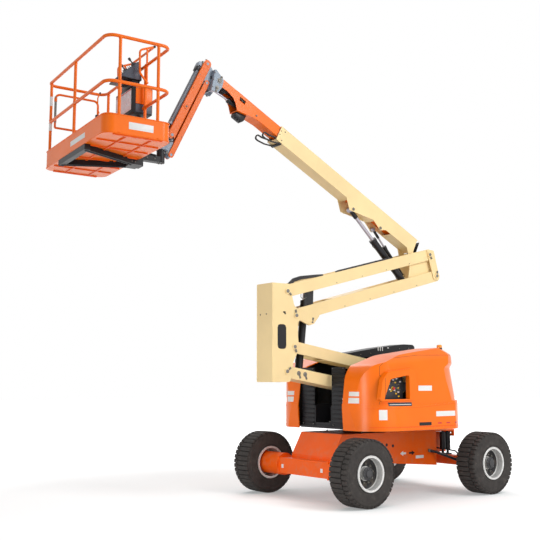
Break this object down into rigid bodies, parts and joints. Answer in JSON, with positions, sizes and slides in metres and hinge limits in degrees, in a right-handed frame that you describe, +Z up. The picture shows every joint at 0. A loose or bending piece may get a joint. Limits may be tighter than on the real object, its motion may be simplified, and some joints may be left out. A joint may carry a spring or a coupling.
{
  "type": "articulating boom lift",
  "caption": "Wheeled articulating boom lift: parallelogram tower, telescopic boom, jib and a railed platform, tower part raised.",
  "frame": {"origin": "on the ground, under the middle of the overall length and width", "axes": "+X from the platform to the tail along the chassis, +Y to the engine side, +Z up"},
  "size_m": [6.331, 2.354, 5.6588],
  "materials": {
    "orange_paint": "gloss paint",
    "orange_shell": "gloss gel coat",
    "dark_plastic": "fine grain",
    "cream_paint": "gloss paint",
    "black_paint": "satin paint",
    "grey_paint": "satin paint",
    "grey_cast": "rough cast",
    "plated_rod": "polished",
    "rim_paint": "satin paint",
    "tyre_rubber": "matt rubber"
  },
  "bodies": {
    "base": {"chassis_frame": "orange_paint", "drive_axle": "orange_paint", "steer_axle": "orange_paint", "axle_lockouts": "orange_paint", "slew_ring": "black_paint"},
    "turntable": {"turntable_frame": "black_paint", "counterweight": "grey_cast", "engine_block": "grey_cast", "hood_tray": "black_paint", "front_guard": "black_paint", "ground_control": "dark_plastic", "top_cover": "dark_plastic"},
    "knuckle_left": {"knuckle_left": "orange_paint"},
    "knuckle_right": {"knuckle_right": "orange_paint"},
    "steer_rod": {"steer_rod": "plated_rod"},
    "hood_left": {"hood_left": "orange_shell"},
    "hood_right": {"hood_right": "orange_shell"},
    "lower_arm": {"lower_arm": "cream_paint"},
    "lower_link": {"lower_link": "cream_paint"},
    "upright": {"upright": "cream_paint"},
    "upper_link": {"upper_link": "cream_paint"},
    "upper_arm": {"upper_arm": "cream_paint"},
    "end_link": {"end_link": "cream_paint"},
    "main_boom": {"main_boom": "cream_paint"},
    "fly_boom": {"fly_boom": "orange_paint"},
    "jib_mount": {"jib_mount": "grey_paint"},
    "jib_link": {"jib_link": "orange_paint"},
    "jib_head": {"jib_head": "grey_paint"},
    "jib_arm": {"jib_arm": "orange_paint", "jib_hose_track": "black_paint"},
    "platform": {"platform_support": "black_paint", "basket": "orange_paint", "console": "dark_plastic"},
    "basket_gate": {"basket_gate": "orange_paint"},
    "tower_barrel": {"tower_cylinder_barrel": "black_paint"},
    "tower_rod": {"tower_cylinder_rod": "plated_rod"},
    "lift_barrel": {"lift_cylinder_barrel": "black_paint"},
    "lift_rod": {"lift_cylinder_rod": "plated_rod"},
    "level_barrel": {"level_cylinder_barrel": "black_paint"},
    "level_rod": {"level_cylinder_rod": "plated_rod"},
    "slave_barrel": {"slave_cylinder_barrel": "black_paint"},
    "slave_rod": {"slave_cylinder_rod": "plated_rod"},
    "jib_barrel": {"jib_cylinder_barrel": "black_paint"},
    "jib_rod": {"jib_cylinder_rod": "plated_rod"},
    "wheel_front_left": {"tyre_front_left": "tyre_rubber", "rim_front_left": "rim_paint"},
    "wheel_front_right": {"tyre_front_right": "tyre_rubber", "rim_front_right": "rim_paint"},
    "wheel_rear_left": {"tyre_rear_left": "tyre_rubber", "rim_rear_left": "rim_paint"},
    "wheel_rear_right": {"tyre_rear_right": "tyre_rubber", "rim_rear_right": "rim_paint"}
  },
  "joints": [
    {"name": "wheel_front_left_spin", "type": "hinge", "parent": "base", "child": "wheel_front_left", "pos_m": [0.41, -1.015, 0.425], "axis": [0, 1, 0], "continuous": true},
    {"name": "wheel_front_right_spin", "type": "hinge", "parent": "base", "child": "wheel_front_right", "pos_m": [0.41, 1.015, 0.425], "axis": [0, 1, 0], "continuous": true},
    {"name": "wheel_rear_left_spin", "type": "hinge", "parent": "knuckle_left", "child": "wheel_rear_left", "pos_m": [2.76, -1.015, 0.425], "axis": [0, 1, 0], "continuous": true},
    {"name": "wheel_rear_right_spin", "type": "hinge", "parent": "knuckle_right", "child": "wheel_rear_right", "pos_m": [2.76, 1.015, 0.425], "axis": [0, 1, 0], "continuous": true},
    {"name": "steer_left", "type": "hinge", "parent": "base", "child": "knuckle_left", "pos_m": [2.76, -0.8, 0.425], "axis": [0, 0, 1], "range_deg": [-35, 35]},
    {"name": "steer_right", "type": "hinge", "parent": "base", "child": "knuckle_right", "pos_m": [2.76, 0.8, 0.425], "axis": [0, 0, 1], "range_deg": [-35, 35]},
    {"name": "steer_link", "type": "slide", "parent": "base", "child": "steer_rod", "axis": [0, 1, 0], "range_m": [-0.1, 0.1]},
    {"name": "slew", "type": "hinge", "parent": "base", "child": "turntable", "pos_m": [1.585, 0, 0.9], "axis": [0, 0, 1], "range_deg": [-177, 177]},
    {"name": "hood_left_lid", "type": "hinge", "parent": "turntable", "child": "hood_left", "pos_m": [1.585, -0.46, 2.006], "axis": [-1, 0, 0], "range_deg": [0, 60]},
    {"name": "hood_right_lid", "type": "hinge", "parent": "turntable", "child": "hood_right", "pos_m": [1.585, 0.46, 2.006], "axis": [1, 0, 0], "range_deg": [0, 60]},
    {"name": "tower_lift", "type": "hinge", "parent": "turntable", "child": "lower_arm", "pos_m": [2.557, 0, 1.253], "axis": [0, 1, 0], "range_deg": [-14, 50]},
    {"name": "lower_link_swing", "type": "hinge", "parent": "turntable", "child": "lower_link", "pos_m": [2.68624, 0, 1.57611], "axis": [0, 1, 0], "range_deg": [-14.5, 50.5]},
    {"name": "upright_level", "type": "hinge", "parent": "lower_arm", "child": "upright", "pos_m": [-0.10827, 0, 1.68468], "axis": [0, 1, 0], "range_deg": [-50.5, 14.5]},
    {"name": "upper_arm_swing", "type": "hinge", "parent": "upright", "child": "upper_arm", "pos_m": [-0.09627, 0, 2.73768], "axis": [0, 1, 0], "range_deg": [-50.5, 14.5]},
    {"name": "upper_link_swing", "type": "hinge", "parent": "upright", "child": "upper_link", "pos_m": [0.0508, 0, 2.42228], "axis": [0, 1, 0], "range_deg": [-50.5, 14.5]},
    {"name": "end_link_level", "type": "hinge", "parent": "upper_arm", "child": "end_link", "pos_m": [2.66821, 0, 3.47067], "axis": [0, 1, 0], "range_deg": [-14.5, 50.5]},
    {"name": "tower_barrel_swing", "type": "hinge", "parent": "lower_arm", "child": "tower_barrel", "pos_m": [0.21429, 0, 1.61218], "axis": [0, -1, 0], "range_deg": [-16.02, 55.92]},
    {"name": "tower_stroke", "type": "slide", "parent": "tower_barrel", "child": "tower_rod", "axis": [0.1162, 0, 0.9932], "range_m": [-0.1584, 0.5554]},
    {"name": "main_lift", "type": "hinge", "parent": "end_link", "child": "main_boom", "pos_m": [2.35821, 0, 3.37967], "axis": [0, 1, 0], "range_deg": [-25.3, 48.5]},
    {"name": "lift_barrel_swing", "type": "hinge", "parent": "end_link", "child": "lift_barrel", "pos_m": [2.28321, -0.035, 2.97967], "axis": [0, -1, 0], "range_deg": [-41.27, 21.77]},
    {"name": "lift_stroke", "type": "slide", "parent": "lift_barrel", "child": "lift_rod", "axis": [-0.7378, 0, 0.675], "range_m": [-0.1278, 0.2413]},
    {"name": "level_barrel_swing", "type": "hinge", "parent": "end_link", "child": "level_barrel", "pos_m": [2.29821, 0.055, 3.13967], "axis": [0, -1, 0], "range_deg": [-39.91, 21.06]},
    {"name": "level_stroke", "type": "slide", "parent": "level_barrel", "child": "level_rod", "axis": [-0.6791, 0, 0.734], "range_m": [-0.0841, 0.1575]},
    {"name": "telescope", "type": "slide", "parent": "main_boom", "child": "fly_boom", "axis": [-0.8949, 0, 0.4462], "range_m": [-0.35, 1.65]},
    {"name": "mount_level", "type": "hinge", "parent": "fly_boom", "child": "jib_mount", "pos_m": [-1.15248, 0, 5.4038], "axis": [0, 1, 0], "range_deg": [-49, 26]},
    {"name": "slave_barrel_swing", "type": "hinge", "parent": "fly_boom", "child": "slave_barrel", "pos_m": [-0.54835, 0, 5.05789], "axis": [0, -1, 0], "range_deg": [-1.94, 1.25]},
    {"name": "slave_stroke", "type": "slide", "parent": "slave_barrel", "child": "slave_rod", "axis": [-0.9352, 0, 0.3541], "range_m": [-0.0866, 0.0471]},
    {"name": "jib_lift", "type": "hinge", "parent": "jib_mount", "child": "jib_arm", "pos_m": [-1.31448, 0, 5.6048], "axis": [0, -1, 0], "range_deg": [-139.5, 4.5]},
    {"name": "jib_link_swing", "type": "hinge", "parent": "jib_mount", "child": "jib_link", "pos_m": [-1.31448, 0, 5.3548], "axis": [0, -1, 0], "range_deg": [-140, 5]},
    {"name": "jib_head_level", "type": "hinge", "parent": "jib_arm", "child": "jib_head", "pos_m": [-1.82761, 0, 4.57562], "axis": [0, -1, 0], "range_deg": [-5, 140]},
    {"name": "jib_barrel_swing", "type": "hinge", "parent": "jib_mount", "child": "jib_barrel", "pos_m": [-1.31448, 0, 5.5098], "axis": [0, -1, 0], "range_deg": [-137.21, 4.91]},
    {"name": "jib_stroke", "type": "slide", "parent": "jib_barrel", "child": "jib_rod", "axis": [-0.5067, 0, -0.8621], "range_m": [-0.0099, 0.1854]},
    {"name": "platform_rotate", "type": "hinge", "parent": "jib_head", "child": "platform", "pos_m": [-1.94761, 0, 4.32562], "axis": [0, 0, 1], "range_deg": [-85.3, 94.7]},
    {"name": "gate_swing", "type": "hinge", "parent": "platform", "child": "basket_gate", "pos_m": [-2.87882, 1.06087, 4.9], "axis": [0, 0, -1], "range_deg": [0, 90]}
  ],
  "couplings": [
    {"joint": "steer_right", "follows": "steer_left", "ratio": 1},
    {"joint": "steer_link", "follows": "steer_left", "m_per_rad": 0.15},
    {"joint": "lower_link_swing", "follows": "tower_lift", "ratio": 1},
    {"joint": "upright_level", "follows": "tower_lift", "ratio": -1},
    {"joint": "upper_arm_swing", "follows": "tower_lift", "ratio": -1},
    {"joint": "upper_link_swing", "follows": "tower_lift", "ratio": -1},
    {"joint": "end_link_level", "follows": "tower_lift", "ratio": 1},
    {"joint": "tower_barrel_swing", "follows": "tower_lift", "ratio": 1.1083},
    {"joint": "tower_stroke", "follows": "tower_lift", "m_per_rad": 0.63187},
    {"joint": "lift_barrel_swing", "follows": "main_lift", "ratio": -0.8407},
    {"joint": "lift_stroke", "follows": "main_lift", "m_per_rad": 0.28028},
    {"joint": "level_barrel_swing", "follows": "main_lift", "ratio": -0.8125},
    {"joint": "level_stroke", "follows": "main_lift", "m_per_rad": 0.18136},
    {"joint": "mount_level", "follows": "main_lift", "ratio": -1},
    {"joint": "slave_barrel_swing", "follows": "main_lift", "ratio": -0.0296},
    {"joint": "slave_stroke", "follows": "main_lift", "m_per_rad": -0.09754},
    {"joint": "jib_link_swing", "follows": "jib_lift", "ratio": 1},
    {"joint": "jib_head_level", "follows": "jib_lift", "ratio": -1},
    {"joint": "jib_barrel_swing", "follows": "jib_lift", "ratio": 0.98},
    {"joint": "jib_stroke", "follows": "jib_lift", "m_per_rad": -0.074485}
  ]
}
